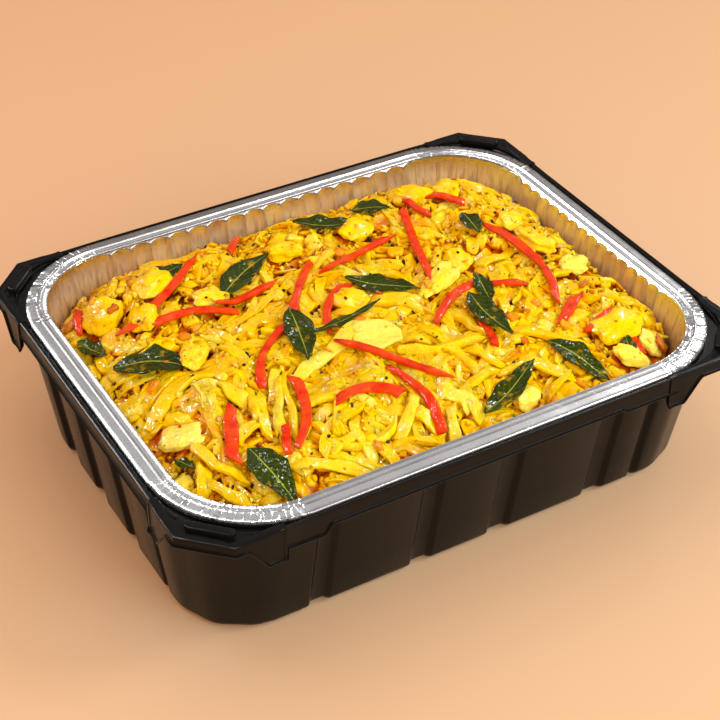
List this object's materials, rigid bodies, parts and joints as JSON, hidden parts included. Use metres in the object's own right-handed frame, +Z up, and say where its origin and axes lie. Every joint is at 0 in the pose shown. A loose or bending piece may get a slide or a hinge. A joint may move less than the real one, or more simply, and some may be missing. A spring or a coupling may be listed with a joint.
{
  "type": "tray of turmeric cabbage",
  "caption": "Foil tray of yellow shredded cabbage with red pepper strips and curry leaves, held by its rim in a black carrier tray.",
  "frame": {"origin": "on the floor, under the middle of the tray", "axes": "+X along the long side, to the right; +Y to the back; +Z up, out of the open top"},
  "size_m": [0.312, 0.2492, 0.0879],
  "materials": {
    "black_plastic": "satin thermoformed sheet",
    "foil": "bright pressed foil with fine wrinkles",
    "cabbage": "moist cooked shreds with an oily sheen",
    "pepper": "glossy cooked skin",
    "curry_leaf": "waxy leaf, glossy with oil"
  },
  "bodies": {
    "root": {"outer_tray": "black_plastic", "foil_tray": "foil", "cabbage_heap": "cabbage", "pepper_strip_01": "pepper", "pepper_strip_02": "pepper", "pepper_strip_03": "pepper", "pepper_strip_04": "pepper", "pepper_strip_05": "pepper", "pepper_strip_06": "pepper", "pepper_strip_07": "pepper", "pepper_strip_08": "pepper", "pepper_strip_09": "pepper", "pepper_strip_10": "pepper", "pepper_strip_11": "pepper", "pepper_strip_12": "pepper", "pepper_strip_13": "pepper", "pepper_strip_14": "pepper", "pepper_strip_15": "pepper", "pepper_strip_16": "pepper", "pepper_strip_17": "pepper", "pepper_strip_18": "pepper", "pepper_strip_19": "pepper", "pepper_strip_20": "pepper", "pepper_strip_21": "pepper", "pepper_strip_22": "pepper", "pepper_strip_23": "pepper", "pepper_strip_24": "pepper", "pepper_strip_25": "pepper", "curry_leaf_01": "curry_leaf", "curry_leaf_02": "curry_leaf", "curry_leaf_03": "curry_leaf", "curry_leaf_04": "curry_leaf", "curry_leaf_05": "curry_leaf", "curry_leaf_06": "curry_leaf", "curry_leaf_07": "curry_leaf", "curry_leaf_08": "curry_leaf", "curry_leaf_09": "curry_leaf", "curry_leaf_10": "curry_leaf", "curry_leaf_11": "curry_leaf", "curry_leaf_12": "curry_leaf", "curry_leaf_13": "curry_leaf", "curry_leaf_14": "curry_leaf", "curry_leaf_15": "curry_leaf", "curry_leaf_16": "curry_leaf", "curry_leaf_17": "curry_leaf"}
  },
  "joints": []
}
